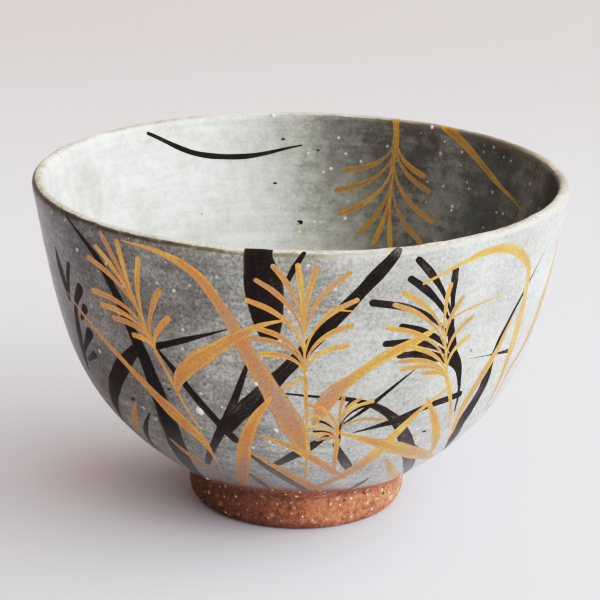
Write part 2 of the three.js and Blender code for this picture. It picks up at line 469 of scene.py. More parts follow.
BACK_GOLD_BLADES = {
    "stem over rim": ((153, 75, 1.6, 0.1), (156, 60, 1.4, 0.1), (168, 26, 0.6, 0.3)),
    "blade over rim": ((129, 75, 2.6, 0.0), (123, 58, 3.4, 0.3), (113, 38, 3.0, 0.7),
                       (101, 22, 0.8, 0.8)),
    "arc": ((229, 60, 0.4, 0.0), (214, 65, 1.6, 0.0), (199, 57, 2.4, 0.2), (187, 40, 2.8, 0.6),
            (181, 22, 0.8, 0.8)),
    "right side": ((94, 20, 0.8, 0.4), (91, 40, 2.0, 0.3), (99, 62, 0.4, 0.1)),
    "left side": ((-99, 15, 0.8, 0.6), (-90, 34, 2.6, 0.5), (-89, 50, 2.2, 0.2),
                  (-96, 64, 0.4, 0.0)),
    "left plume stem": ((-103, 38, 1.0, 0.2), (-101, 15, 0.6, 0.4)),
    "plume stem": ((176, 34, 1.0, 0.2), (171, 18, 0.6, 0.3)),
    "side plume stem": ((104, 40, 1.0, 0.2), (107, 22, 0.6, 0.3)),
}
BACK_GOLD_PLUMES = {
    "back": {"hub": (176, 34), "crown": (176, 47), "width": 1.25, "tips": (
        (157, 58), (164, 66), (172, 70), (182, 70), (191, 65), (197, 56), (160, 48), (195, 46))},
    "right side": {"hub": (104, 40), "crown": (105, 52), "width": 1.25, "tips": (
        (91, 60), (97, 67), (107, 70), (116, 66), (121, 57), (119, 48))},
    "left side": {"hub": (-103, 38), "crown": (-104, 50), "width": 1.25, "tips": (
        (-117, 54), (-115, 62), (-110, 68), (-103, 70), (-96, 66), (-92, 57), (-116, 46))},
}

paint_blades(BACK_BLACK_BLADES, BLACK, outside_at)
paint_plumes(BACK_BLACK_PLUMES, BLACK, outside_at)
paint_blades(BACK_GOLD_BLADES, GOLD, outside_at)
paint_plumes(BACK_GOLD_PLUMES, GOLD, outside_at)

# The sheet of glaze and clay
# The bowl's surface laid flat and cut up along the edges of the strokes, so that every face is
# one finish: glaze, gold, brown-black or the bare clay below the line where the dipping ended.
ROUND_GAP = 1.25
WALL_GAP = 1.25
LIP_GAP = 0.4
LIP_REACH = 3.2
FOOT_GAP = 0.8
FOOT_REACH = 2.0
FEWEST_ROUND = 20
CLEAR_OF_STROKES = 0.5
CUT_STEP = 1e-4
GLAZE_LINE_POINTS = 320
GLAZE_LINE_LOW = 1.2
GLAZE_LINE_SWING = 3.8
GLAZE_LINE_TURN = math.radians(-8.0)
GLAZE_LINE_HIGHEST = 11.0
GLAZE_LINE_WAVES = ((5, 0.22, 0.4), (9, 0.14, 2.1), (15, 0.1, 4.4))
LEFT_EDGE = SEAM_TURN * SHEET_RADIUS
RIGHT_EDGE = (SEAM_TURN + math.tau) * SHEET_RADIUS


def glaze_line(turn):
    """The station where the glaze ends: high on the front and the back, low on the sides."""
    swing = GLAZE_LINE_SWING * (1 + np.cos(2 * (turn - GLAZE_LINE_TURN)))
    waves = sum(depth * np.sin(count * turn + start) for count, depth, start in GLAZE_LINE_WAVES)
    return SHOULDER_STATION + GLAZE_LINE_LOW + swing + waves


def sheet_rows():
    """Stations for the rows of the sheet, closer together at the foot and on the lip."""
    rows = [0.0]
    while rows[-1] < FLOOR_STATION:
        gap = WALL_GAP
        if FOOT_STATION - FOOT_REACH < rows[-1] < SHOULDER_STATION + GLAZE_LINE_HIGHEST:
            gap = FOOT_GAP
        elif abs(rows[-1] - CREST_STATION) < LIP_REACH:
            gap = LIP_GAP
        rows.append(min(rows[-1] + gap, FLOOR_STATION))
    return rows


def sheet_points(taken):
    """Points spread evenly over the sheet, kept off the points that are taken."""
    tree = KDTree(len(taken))
    for number, place in enumerate(taken):
        tree.insert((place[0], place[1], 0.0), number)
    tree.balance()
    points = []
    for number, station in enumerate(sheet_rows()):
        round_length = math.tau * SHEET_RADIUS * sheet_stretch(station)
        count = max(FEWEST_ROUND, round(round_length / ROUND_GAP))
        gap = (RIGHT_EDGE - LEFT_EDGE) / count
        points += [(LEFT_EDGE, station), (RIGHT_EDGE, station)]
        for step in range(1, count):
            place = (LEFT_EDGE + gap * (step - 0.5 * (number % 2)), station)
            if tree.find((*place, 0.0))[2] > CLEAR_OF_STROKES:
                points.append(place)
    return points


def closed_loop(first, count):
    """Edges round a loop of points."""
    return [(first + step, first + (step + 1) % count) for step in range(count)]


line_turns = np.linspace(SEAM_TURN, SEAM_TURN + math.tau, GLAZE_LINE_POINTS)
line_points = np.stack([line_turns * SHEET_RADIUS, glaze_line(line_turns)], axis=1)
fixed_points = line_points.tolist()
fixed_edges = [(number, number + 1) for number in range(len(line_points) - 1)]
for stroke in strokes:
    fixed_edges += closed_loop(len(fixed_points), len(stroke["edge"]))
    fixed_points += stroke["edge"].tolist()
all_points = fixed_points + sheet_points(fixed_points)
cut_points, _, cut_faces, *_ = delaunay_2d_cdt(
    [Vector(place) for place in all_points], fixed_edges, [], 0, CUT_STEP)
sheet_verts = np.array(cut_points)
sheet_faces = np.array(cut_faces)
face_middles = sheet_verts[sheet_faces].mean(axis=1)


def inside_outline(places, outline):
    """Which places lie inside a closed outline."""
    count = np.zeros(len(places), int)
    for start, end in zip(outline, np.roll(outline, -1, axis=0)):
        crosses = (start[1] > places[:, 1]) != (end[1] > places[:, 1])
        drop = end[1] - start[1] if end[1] != start[1] else 1.0
        crossing = start[0] + (places[:, 1] - start[1]) * (end[0] - start[0]) / drop
        count += crosses & (places[:, 0] < crossing)
    return count % 2 == 1


face_line = glaze_line(face_middles[:, 0] / SHEET_RADIUS)
face_paint = np.where(face_middles[:, 1] < face_line, CLAY, GLAZE)
face_stroke = np.full(len(sheet_faces), -1)
for number, stroke in enumerate(strokes):
    low, high = stroke["edge"].min(axis=0), stroke["edge"].max(axis=0)
    close = ((face_middles >= low) & (face_middles <= high)).all(axis=1) & (face_paint != CLAY)
    close = np.flatnonzero(close)
    under = close[inside_outline(face_middles[close], stroke["edge"])]
    face_paint[under] = stroke["paint"]
    face_stroke[under] = number

# How far along and across its stroke each corner of a painted face is, and the paint's tone
corner_brush = np.zeros((len(sheet_faces), 3, 3))
for number, stroke in enumerate(strokes):
    under = np.flatnonzero(face_stroke == number)
    gaps = sheet_verts[sheet_faces[under]][:, :, None, :] - stroke["spine"]
    nearest = np.linalg.norm(gaps * stroke["stretch"], axis=3).argmin(axis=2)
    gap = np.take_along_axis(gaps, nearest[:, :, None, None], axis=2)[:, :, 0]
    across = (gap * stroke["stretch"][nearest] * stroke["aside"][nearest]).sum(axis=2)
    across = (across / stroke["half"][nearest]).clip(-1, 1)
    corner_brush[under] = np.stack(
        [stroke["along"][nearest], across, stroke["tone"][nearest]], axis=2)

# A flat map of the surface, with each finish on strips of its own: the stations that a strip
# covers, where it starts on the map, and its share of the map
MAP_MARGIN = 0.004
MAP_STRIPS = {
    GLAZE: [(SHOULDER_STATION, CREST_STATION, 0.002, 0.260),
            (CREST_STATION, FLOOR_STATION, 0.270, 0.250)],
    GOLD: [(SHOULDER_STATION, FLOOR_STATION, 0.528, 0.226)],
    BLACK: [(SHOULDER_STATION, FLOOR_STATION, 0.762, 0.130)],
    CLAY: [(0.0, SHOULDER_STATION + GLAZE_LINE_HIGHEST, 0.900, 0.096)],
}
corner_map = np.zeros((len(sheet_faces), 3, 2))
for paint, strips in MAP_STRIPS.items():
    for low, high, start, share in strips:
        within = (face_middles[:, 1] >= low) & (face_middles[:, 1] <= high)
        corners = sheet_verts[sheet_faces[(face_paint == paint) & within]]
        round_share = (corners[:, :, 0] - LEFT_EDGE) / (RIGHT_EDGE - LEFT_EDGE)
        up_share = (corners[:, :, 1] - low) / (high - low)
        corner_map[(face_paint == paint) & within] = np.stack(
            [MAP_MARGIN + (1 - 2 * MAP_MARGIN) * round_share, start + share * up_share], axis=2)

sheet_mesh = bpy.data.meshes.new("bowl_sheet")
sheet_mesh.from_pydata(
    np.column_stack([sheet_verts * MM, np.zeros(len(sheet_verts))]), [], sheet_faces.tolist())


def keep_values(name, kind, domain, field, values):
    """Keeps values on the sheet's faces, corners or points as a named attribute."""
    sheet_mesh.attributes.new(name, kind, domain).data.foreach_set(field, values.ravel())


point_line = glaze_line(sheet_verts[:, 0] / SHEET_RADIUS)
keep_values("paint", "INT", "FACE", "value", face_paint.astype(np.int32))
keep_values("brush", "FLOAT_VECTOR", "CORNER", "vector", corner_brush)
keep_values("from_lip", "FLOAT", "POINT", "value", sheet_verts[:, 1] - CREST_STATION)
keep_values("above_clay", "FLOAT", "POINT", "value", sheet_verts[:, 1] - point_line)
sheet_mesh.uv_layers.new(name="OFBake").data.foreach_set("uv", corner_map.ravel())

# The finishes
# A mottled stoneware glaze with a cream lip, powdered gold and iron brown-black laid on with a
# brush, and bare red clay. The side away from the window is painted darker as shade, partly as firing.
RELIEF_STRENGTH = 0.5


def node(tree, kind, inputs=None, **settings):
    """Adds a node. An input that is another node's output is linked, and any other is set."""
    made = tree.nodes.new(kind)
    for name, value in settings.items():
        setattr(made, name, value)
    for name, value in (inputs or {}).items():
        if isinstance(value, bpy.types.NodeSocket):
            tree.links.new(value, made.inputs[name])
        else:
            made.inputs[name].default_value = value
    return made


def result(tree, kind, inputs=None, **settings):
    """The first output of a new node."""
    return node(tree, kind, inputs, **settings).outputs[0]


def sums(tree, operation, first, second=0.0, third=0.0, **settings):
    """One step of arithmetic between nodes."""
    inputs = {0: first, 1: second, 2: third}
    return result(tree, "ShaderNodeMath", inputs, operation=operation, **settings)


def product(tree, *factors):
    """Several values multiplied."""
    total = factors[0]
    for factor in factors[1:]:
        total = sums(tree, "MULTIPLY", total, factor)
    return total


def apart(tree, vector):
    """The three parts of a vector."""
    return node(tree, "ShaderNodeSeparateXYZ", {0: vector}).outputs


def together(tree, x, y, z):
    """A vector made of three parts."""
    return result(tree, "ShaderNodeCombineXYZ", {0: x, 1: y, 2: z})


def noise(tree, place, size, detail=2.0, rough=0.5):
    """Cloudy noise whose patches are about size metres wide."""
    inputs = {"Vector": place, "Scale": 1 / size, "Detail": detail, "Roughness": rough}
    return result(tree, "ShaderNodeTexNoise", inputs)


def between(tree, share, low, high):
    """A value between two others, by a share."""
    return result(tree, "ShaderNodeMix", {0: share, 2: low, 3: high})


def blend_of(tree, *parts):
    """Several noises added by weight, with their middle kept at a half."""
    total = 0.5 - sum(weight for _, weight in parts) / 2
    for value, weight in parts:
        total = sums(tree, "MULTIPLY_ADD", value, weight, total)
    return total


def shades(tree, value, stops):
    """A colour picked by a value from a run of stops."""
    ramp = node(tree, "ShaderNodeValToRGB", {0: value})
    ramp.color_ramp.elements.remove(ramp.color_ramp.elements[1])
    for number, (place, colour) in enumerate(stops):
        if number > 0:
            ramp.color_ramp.elements.new(place)
        ramp.color_ramp.elements[number].position = place
        ramp.color_ramp.elements[number].color = (*colour, 1.0)
    return ramp.outputs[0]


def over(tree, share, under, top, blend="MIX"):
    """One colour laid over another, by a share."""
    mixed = node(tree, "ShaderNodeMix", {0: share}, data_type="RGBA", blend_type=blend)
    for number, colour in ((6, under), (7, top)):
        if isinstance(colour, bpy.types.NodeSocket):
            tree.links.new(colour, mixed.inputs[number])
        else:
            mixed.inputs[number].default_value = (*colour, 1.0)
    return mixed.outputs[2]


def rise(tree, value, low, high):
    """Nought at one value and one at another, with a smooth rise between."""
    inputs = {0: value, 1: low, 2: high}
    return result(tree, "ShaderNodeMapRange", inputs, interpolation_type="SMOOTHSTEP")


def band(tree, value, low, high, soft):
    """One between two values and nought outside them, with soft ends."""
    return product(tree, rise(tree, value, low - soft, low + soft),
                   rise(tree, value, high + soft, high - soft))


def specks(tree, place, spacing, chance, largest, soft=0.08):
    """Scattered round specks: by chance one in a cell of that spacing, up to a share of it."""
    cells = node(tree, "ShaderNodeTexVoronoi", {"Vector": place, "Scale": 1 / spacing})
    luck = result(tree, "ShaderNodeSeparateColor", {0: cells.outputs["Color"]})
    size = product(tree, sums(tree, "SUBTRACT", luck, 1 - chance), largest / chance)
    inner = sums(tree, "SUBTRACT", size, cells.outputs["Distance"])
    return sums(tree, "DIVIDE", inner, soft, use_clamp=True)


def new_material(name):
    """A material with its node tree, its shader and the object's own coordinates."""
    material = bpy.data.materials.new(name)
    material.use_nodes = True
    tree = material.node_tree
    place = node(tree, "ShaderNodeTexCoord").outputs["Object"]
    return material, tree, tree.nodes["Principled BSDF"], place


def kept(tree, name, output="Fac"):
    """One of the values kept on the bowl's mesh."""
    return node(tree, "ShaderNodeAttribute", attribute_name=name).outputs[output]


def finish(tree, shader, colour, rough, height, depth):
    """Gives the shader its colour, its roughness and a fine relief of some depth in metres."""
    tree.links.new(colour, shader.inputs["Base Color"])
    tree.links.new(rough, shader.inputs["Roughness"])
    inputs = {"Height": height, "Strength": RELIEF_STRENGTH, "Distance": depth}
    tree.links.new(result(tree, "ShaderNodeBump", inputs), shader.inputs["Normal"])


# The glaze: its colours by shade, and its patterns by size in metres, detail and coarseness
# Dark shades serve the glaze's painted shade side, pale ones its painted light side
DARK_GLAZE = [(0.15, (0.022, 0.019, 0.015)), (0.5, (0.066, 0.060, 0.052)),
              (0.85, (0.18, 0.17, 0.152))]
PALE_GLAZE = [(0.15, (0.40, 0.40, 0.35)), (0.5, (0.55, 0.565, 0.505)),
              (0.85, (0.72, 0.745, 0.685))]
GLAZE_CLOUD = (0.016, 3.0, 0.5)
GLAZE_MOTTLE = (0.0032, 3.0, 0.6)
GLAZE_GRAIN = (0.0007, 3.0, 0.7)
GLAZE_RING = (0.0013, 3.0, 0.5)
GLAZE_RING_STRETCH = (0.05, 0.05, 1.0)
# How much of the cloud, the mottle, the grain and the rings shows on the outside and the inside
OUTSIDE_WEIGHTS = (0.7, 0.6, 1.7, 0.6)
INSIDE_WEIGHTS = (1.5, 0.9, 0.5, 0.4)
# Dark to pale, partly firing and mostly painted light and shade: outside to the right, inside to the
# left
LIT_AND_FIRED_DRIFT = 0.05
OUTSIDE_LIT_AND_FIRED_PALING = 7.5
OUTSIDE_MIDDLE = 0.4
INSIDE_LIT_AND_FIRED_ACROSS = (0.022, -0.034)
INSIDE_LIT_AND_FIRED_LEAN = -0.0004
# Specks: how far apart, the chance of one, its largest size as a share of the gap and its
# softness, then how strongly it shows, and its colour
GLAZE_SPECKS = {
    "fine": ((0.0018, 0.5, 0.28, 0.08), 0.75, (0.60, 0.585, 0.53)),
    "pale": ((0.0042, 0.5, 0.15, 0.08), 0.8, (0.68, 0.64, 0.56)),
    "pits": ((0.006, 0.35, 0.09, 0.04), 0.75, (0.05, 0.04, 0.03)),
}
# Bands along the lip and above the clay, in millimetres: from, to and softness. Places across
# the bowl and the sizes of patterns are in metres
LIP_TURN = (-1.0, 1.0)
LIP_WANDER = 0.8
LIP_WANDER_SIZE = 0.006
LIP_CREAM_BAND = (-0.8, 1.1, 0.25)
LIP_CREAM_SHARE = 0.9
LIP_CREAM = [(0.2, (0.24, 0.22, 0.155)), (0.6, (0.57, 0.555, 0.45))]
# Darker olive on the lip towards the back right
LIP_DARK_BAND = (-1.0, 2.6, 0.5)
LIP_DARK_ACROSS = (0.0, 0.035)
LIP_DARK_BACK = (0.0, 0.03)
LIP_DARK_SHARE = 0.8
LIP_DARK_OLIVE = (0.10, 0.088, 0.062)
LIP_STAIN_BAND = (-1.7, -0.95, 0.2)
LIP_STAIN_SHARE = 0.9
LIP_STAIN_DARK = (0.045, 0.037, 0.02)
LIP_STAIN_PALE = (0.46, 0.42, 0.28)
LIP_STAIN_PALING = (0.15, 0.75)
LIP_BREAK = (0.004, 3.0)
LIP_BREAK_RANGE = (0.3, 0.48)
# Bluish grey towards the foot
LOW_BLUE_HEIGHTS = (18.0, 3.0)
LOW_BLUE_SHARE = 0.3
LOW_BLUE_GLAZE = (0.23, 0.26, 0.31)
THIN_EDGE_BAND = (-1.0, 1.6, 1.0)
THIN_EDGE_SHARE = 0.8
THIN_EDGE = (0.24, 0.14, 0.105)
# The glaze's relief in metres, what stands out or sinks in it, and its roughness: how much the
# grain adds, and the least
GLAZE_RELIEF = 0.0002
SPECK_RISE = 0.8
PIT_RISE = -1.2
RING_RISE = 0.8
GLAZE_ROUGHNESS = (0.2, 0.2)


def grey_glaze():
    """Mottled grey glaze: granular, with pale specks, dark pits, a cream lip and a brown edge."""
    material, tree, shader, place = new_material("grey_glaze")
    across, back, _ = apart(tree, place)
    from_lip = kept(tree, "from_lip")
    above_clay = kept(tree, "above_clay")
    inner = rise(tree, from_lip, *LIP_TURN)
    ring_place = result(
        tree, "ShaderNodeMapping", {"Vector": place, "Scale": GLAZE_RING_STRETCH})

    cloud = noise(tree, place, *GLAZE_CLOUD)
    mottle = noise(tree, place, *GLAZE_MOTTLE)
    grain = noise(tree, place, *GLAZE_GRAIN)
    rings = noise(tree, ring_place, *GLAZE_RING)
    patterns = (cloud, mottle, grain, rings)
    coarse = blend_of(tree, *zip(patterns, OUTSIDE_WEIGHTS))
    fine = blend_of(tree, *zip(patterns, INSIDE_WEIGHTS))
    shade = between(tree, inner, coarse, fine)
    # Painted light and shade, partly firing: paler where the window lights the glaze, outside right
    # and inside left
    drift = sums(tree, "MULTIPLY_ADD", cloud, LIT_AND_FIRED_DRIFT, -LIT_AND_FIRED_DRIFT / 2)
    drifted = sums(tree, "ADD", across, drift)
    outside_lit_and_fired = sums(
        tree, "MULTIPLY_ADD", drifted, OUTSIDE_LIT_AND_FIRED_PALING, OUTSIDE_MIDDLE, use_clamp=True)
    leaning = sums(tree, "MULTIPLY_ADD", from_lip, INSIDE_LIT_AND_FIRED_LEAN, drifted)
    inside_lit_and_fired = rise(tree, leaning, *INSIDE_LIT_AND_FIRED_ACROSS)
    lit_and_fired_pale = between(tree, inner, outside_lit_and_fired, inside_lit_and_fired)
    colour = over(
        tree, lit_and_fired_pale, shades(tree, shade, DARK_GLAZE), shades(tree, shade, PALE_GLAZE))
    found = {}
    for name, (spread, share, tint) in GLAZE_SPECKS.items():
        found[name] = specks(tree, place, *spread)
        colour = over(tree, product(tree, found[name], share), colour, tint)

    wander = noise(tree, place, LIP_WANDER_SIZE)
    wander = sums(tree, "MULTIPLY_ADD", wander, LIP_WANDER, -LIP_WANDER / 2)
    lip_place = sums(tree, "ADD", from_lip, wander)
    cream = product(tree, band(tree, lip_place, *LIP_CREAM_BAND), LIP_CREAM_SHARE)
    colour = over(tree, cream, colour, shades(tree, shade, LIP_CREAM))
    dark_back_right = product(tree, band(tree, lip_place, *LIP_DARK_BAND),
                     rise(tree, across, *LIP_DARK_ACROSS), rise(tree, back, *LIP_DARK_BACK))
    colour = over(tree, product(tree, dark_back_right, LIP_DARK_SHARE), colour, LIP_DARK_OLIVE)
    broken = rise(tree, noise(tree, place, *LIP_BREAK), *LIP_BREAK_RANGE)
    stain = product(tree, band(tree, lip_place, *LIP_STAIN_BAND), broken, LIP_STAIN_SHARE)
    # The lip's stain is paler on the painted light side and darker on the painted shade side
    stain_colour = over(
        tree, rise(tree, lit_and_fired_pale, *LIP_STAIN_PALING), LIP_STAIN_DARK, LIP_STAIN_PALE)
    colour = over(tree, stain, colour, stain_colour)
    low_blue = product(tree, rise(tree, above_clay, *LOW_BLUE_HEIGHTS), LOW_BLUE_SHARE)
    colour = over(tree, low_blue, colour, LOW_BLUE_GLAZE)
    thin_edge = product(tree, band(tree, above_clay, *THIN_EDGE_BAND), THIN_EDGE_SHARE)
    colour = over(tree, thin_edge, colour, THIN_EDGE)

    height = grain
    for part, lift in ((found["pits"], PIT_RISE), (found["pale"], SPECK_RISE), (rings, RING_RISE)):
        height = sums(tree, "MULTIPLY_ADD", part, lift, height)
    rough = sums(tree, "MULTIPLY_ADD", grain, *GLAZE_ROUGHNESS)
    finish(tree, shader, colour, rough, height, GLAZE_RELIEF)
    return material


# Both paints: patterns by size, detail and coarseness, with the streaks stretched along the brush
PAINT_CLOUD = (0.006, 3.0)
PAINT_GRAIN = (0.0005, 3.0, 0.7)
PAINT_BLUSH = (0.0045, 3.0)
PAINT_STREAK = (0.8, 4.0, 0.6)
STREAK_STRETCH = (0.06, 1.6, 0.03)
# How much the streaks, the cloud, the grain and the tone change the paint, and where it starts
PAINT_WEIGHTS = (1.3, 0.8, 0.8)
TONE_WEIGHT = 0.65
TONE_BY_FLOOR_REFLECTION = 0.1
SHADE_START = -0.27
# Where the paint blushes, thickens at its edge, is outlined and is worn, and by how much
BLUSH_RANGE = (0.5, 0.64)
BLUSH_SHARE = 0.5
EDGE_RANGE = (0.4, 0.85)
EDGE_BY_TONE = (-0.6, 1.0)
OUTLINE_RANGE = (0.84, 1.0)
OUTLINE_BREAKS = (0.4, 0.6)
OUTLINE_SHARE = 0.6
OUTLINE_COLOUR = (0.15, 0.075, 0.03)
WORN_RANGE = (0.50, 0.62)
WORN_BY_TONE = (0.6, 0.4)
WORN_COLOUR = (0.20, 0.145, 0.10)
# The paint is darkened inside the bowl as painted shade, and greyed near the foot as painted
# reflection of the table
INSIDE_PAINTED_SHADE = (0.66, 0.74, 0.62)
FLOOR_REFLECTION_HEIGHTS = (30.0, 5.0)
FLOOR_REFLECTION_COLOUR = (0.36, 0.345, 0.34)
PAINT_RELIEF = 0.00012
PAINT_ROUGHNESS = (0.25, 0.25)


def brushed_paint(name, stops, edge_colour, edge_share, blush_colour, wear, floor_reflection):
    """Paint laid on with a brush: streaked, edged, and greyed near the foot as painted reflection of
    the table.
    """
    material, tree, shader, place = new_material(name)
    along, across, laid_tone = apart(tree, kept(tree, "brush", "Vector"))
    # Painted reflection of the table: the paint is greyer and paler towards the foot
    floor_reflection_share = rise(tree, kept(tree, "above_clay"), *FLOOR_REFLECTION_HEIGHTS)
    tone = sums(tree, "MULTIPLY_ADD", floor_reflection_share, TONE_BY_FLOOR_REFLECTION, laid_tone)
    brush_place = zip((along, across, along), STREAK_STRETCH)
    streak_place = together(tree, *(product(tree, way, stretch) for way, stretch in brush_place))
    streak = noise(tree, streak_place, *PAINT_STREAK)
    cloud = noise(tree, place, *PAINT_CLOUD)
    grain = noise(tree, place, *PAINT_GRAIN)
    texture = blend_of(tree, *zip((streak, cloud, grain), PAINT_WEIGHTS))
    texture = sums(tree, "ADD", texture, SHADE_START)
    colour = shades(tree, sums(tree, "MULTIPLY_ADD", tone, TONE_WEIGHT, texture), stops)
    blush = rise(tree, noise(tree, place, *PAINT_BLUSH), *BLUSH_RANGE)
    colour = over(tree, product(tree, blush, BLUSH_SHARE), colour, blush_colour)
    aside = sums(tree, "ABSOLUTE", across)
    edge = product(tree, rise(tree, aside, *EDGE_RANGE), edge_share,
                   sums(tree, "MULTIPLY_ADD", laid_tone, *EDGE_BY_TONE))
    colour = over(tree, edge, colour, edge_colour)
    outline = product(tree, rise(tree, aside, *OUTLINE_RANGE),
                      rise(tree, cloud, *OUTLINE_BREAKS), OUTLINE_SHARE)
    colour = over(tree, outline, colour, OUTLINE_COLOUR)
    thin = sums(tree, "MULTIPLY_ADD", tone, *WORN_BY_TONE)
    worn = product(tree, rise(tree, grain, *WORN_RANGE), thin, wear)
    colour = over(tree, worn, colour, WORN_COLOUR)
    # Painted shade: the paint is darker inside the bowl
    inner = rise(tree, kept(tree, "from_lip"), *LIP_TURN)
    colour = over(tree, inner, colour, INSIDE_PAINTED_SHADE, "MULTIPLY")
    # Painted reflection of the table, greying the paint near the foot
    colour = over(tree, product(tree, floor_reflection_share, floor_reflection), colour, FLOOR_REFLECTION_COLOUR)
    rough = sums(tree, "MULTIPLY_ADD", grain, *PAINT_ROUGHNESS)
    finish(tree, shader, colour, rough, sums(tree, "ADD", grain, streak), PAINT_RELIEF)
    return material, shader


def gold_paint():
    """Powdered gold, from yellow where it is thick to copper pink where it is thin."""
    stops = [(0.05, (0.68, 0.40, 0.10)), (0.4, (0.54, 0.27, 0.06)), (0.65, (0.41, 0.22, 0.09)),
             (1.0, (0.37, 0.235, 0.165))]
    material, shader = brushed_paint(
        "gold_paint", stops, edge_colour=(0.68, 0.38, 0.10), edge_share=0.6,
        blush_colour=(0.55, 0.19, 0.045), wear=0.65, floor_reflection=0.15)
    shader.inputs["Metallic"].default_value = 0.35
    return material


def black_paint():
    """Iron brown-black, darkest where it is thick, and greyer where it is thin."""
    stops = [(0.1, (0.011, 0.0082, 0.0072)), (0.5, (0.022, 0.016, 0.0145)),
             (0.95, (0.11, 0.102, 0.10))]
    material, shader = brushed_paint(
        "black_paint", stops, edge_colour=(0.026, 0.016, 0.014), edge_share=0.4,
        blush_colour=(0.026, 0.017, 0.012), wear=0.06, floor_reflection=0.36)
    shader.inputs["Specular IOR Level"].default_value = 0.05
    return material


# The clay: its colours by shade, and its patterns and grit as in the glaze
CLAY_SHADES = [(0.25, (0.20, 0.075, 0.038)), (0.5, (0.36, 0.148, 0.08)),
               (0.75, (0.51, 0.225, 0.13))]
CLAY_CLOUD = (0.009, 4.0, 0.65)
CLAY_SAND = (0.0011, 4.0, 0.8)
CLAY_WEIGHTS = (0.9, 1.9)
CLAY_RELIEF = 0.0007
CLAY_ROUGHNESS = (0.2, 0.72)
PALE_GRIT = (0.0024, 0.6, 0.36)
DARK_GRIT = (0.0022, 0.4, 0.24)
PALE_GRIT_COLOUR = (0.55, 0.33, 0.23)
DARK_GRIT_COLOUR = (0.07, 0.03, 0.02)
CLAY_SHADE_AND_FIRING_ACROSS = (0.016, -0.02)
CLAY_SHADE_AND_FIRING = (0.42, 0.38, 0.36)
CLAY_FLUSH_BAND = (-2.2, 2.0, 0.8)
CLAY_FLUSH_SHARE = 0.5
CLAY_FLUSH = (0.26, 0.13, 0.095)


def bare_clay():
    """Unglazed red stoneware: sandy, darker on its left as painted shade and partly firing, with pale
    and dark grit.
    """
    material, tree, shader, place = new_material("bare_clay")
    across = apart(tree, place)[0]
    above_clay = kept(tree, "above_clay")
    cloud = noise(tree, place, *CLAY_CLOUD)
    sand = noise(tree, place, *CLAY_SAND)
    colour = shades(tree, blend_of(tree, *zip((cloud, sand), CLAY_WEIGHTS)), CLAY_SHADES)
    colour = over(tree, specks(tree, place, *PALE_GRIT), colour, PALE_GRIT_COLOUR)
    colour = over(tree, specks(tree, place, *DARK_GRIT), colour, DARK_GRIT_COLOUR)
    # Painted shade, partly firing: the clay is darker on the left, away from the window
    colour = over(tree, rise(tree, across, *CLAY_SHADE_AND_FIRING_ACROSS), colour, CLAY_SHADE_AND_FIRING, "MULTIPLY")
    flush = product(tree, band(tree, above_clay, *CLAY_FLUSH_BAND), CLAY_FLUSH_SHARE)
    colour = over(tree, flush, colour, CLAY_FLUSH)
    rough = sums(tree, "MULTIPLY_ADD", sand, *CLAY_ROUGHNESS)
    shader.inputs["Specular IOR Level"].default_value = 0.3
    finish(tree, shader, colour, rough, sand, CLAY_RELIEF)
    return material


# The bowl turned on the wheel
# A geometry tree wraps the flat sheet round the section, lifts the uneven rim, and gives the
# glaze its faint throwing rings and the bare clay its sandy roughness. Sizes are in millimetres.
RING_DEPTH = 0.25
RING_SPACING = 3.5
LIP_DEPTH = 0.5
LIP_SPACING = 7.0
LIP_ROUND = (3.0, 1.0)
CLAY_DEPTH = 0.7
CLAY_GRAIN = 1.6
CLAY_START = (0.2, -0.6)
GLAZE_START = (0.0, 2.0)
STAND_CLEAR = (0.3 * MM, 1.2 * MM)
CALM_RADIUS = 4.0
JOIN = 0.001


def set_inputs(modifier, values):
    """Sets a tree's named inputs on a modifier, by their sockets' identifiers."""
    for item in modifier.node_group.interface.items_tree:
        if item.in_out == "INPUT" and item.name in values:
            modifier[item.identifier] = values[item.name]


def new_tree(name, **inputs):
    """A geometry tree with inputs of the given kinds and one geometry output."""
    tree = bpy.data.node_groups.new(name, "GeometryNodeTree")
    for label, kind in inputs.items():
        tree.interface.new_socket(
            name=label, in_out="INPUT", socket_type="NodeSocket" + kind)
    tree.interface.new_socket(
        name="Geometry", in_out="OUTPUT", socket_type="NodeSocketGeometry")
    return tree, node(tree, "NodeGroupInput").outputs


def mesh_value(tree, name, kind="FLOAT"):
    """One of the values kept on the mesh, inside a geometry tree."""
    return result(tree, "GeometryNodeInputNamedAttribute", {"Name": name}, data_type=kind)


def is_paint(tree, number):
    """One on the faces that have one of the finishes, and nought on the others."""
    return sums(tree, "COMPARE", mesh_value(tree, "paint", "INT"), float(number), 0.1)


def uneven(tree, place, size, depth):
    """Relief both ways about the surface, from noise of a size, as deep as depth."""
    inputs = {"Vector": place, "Scale": sums(tree, "DIVIDE", 1.0, size), "Detail": 2.0}
    cloud = result(tree, "ShaderNodeTexNoise", inputs)
    return product(tree, sums(tree, "SUBTRACT", cloud, 0.5), depth)


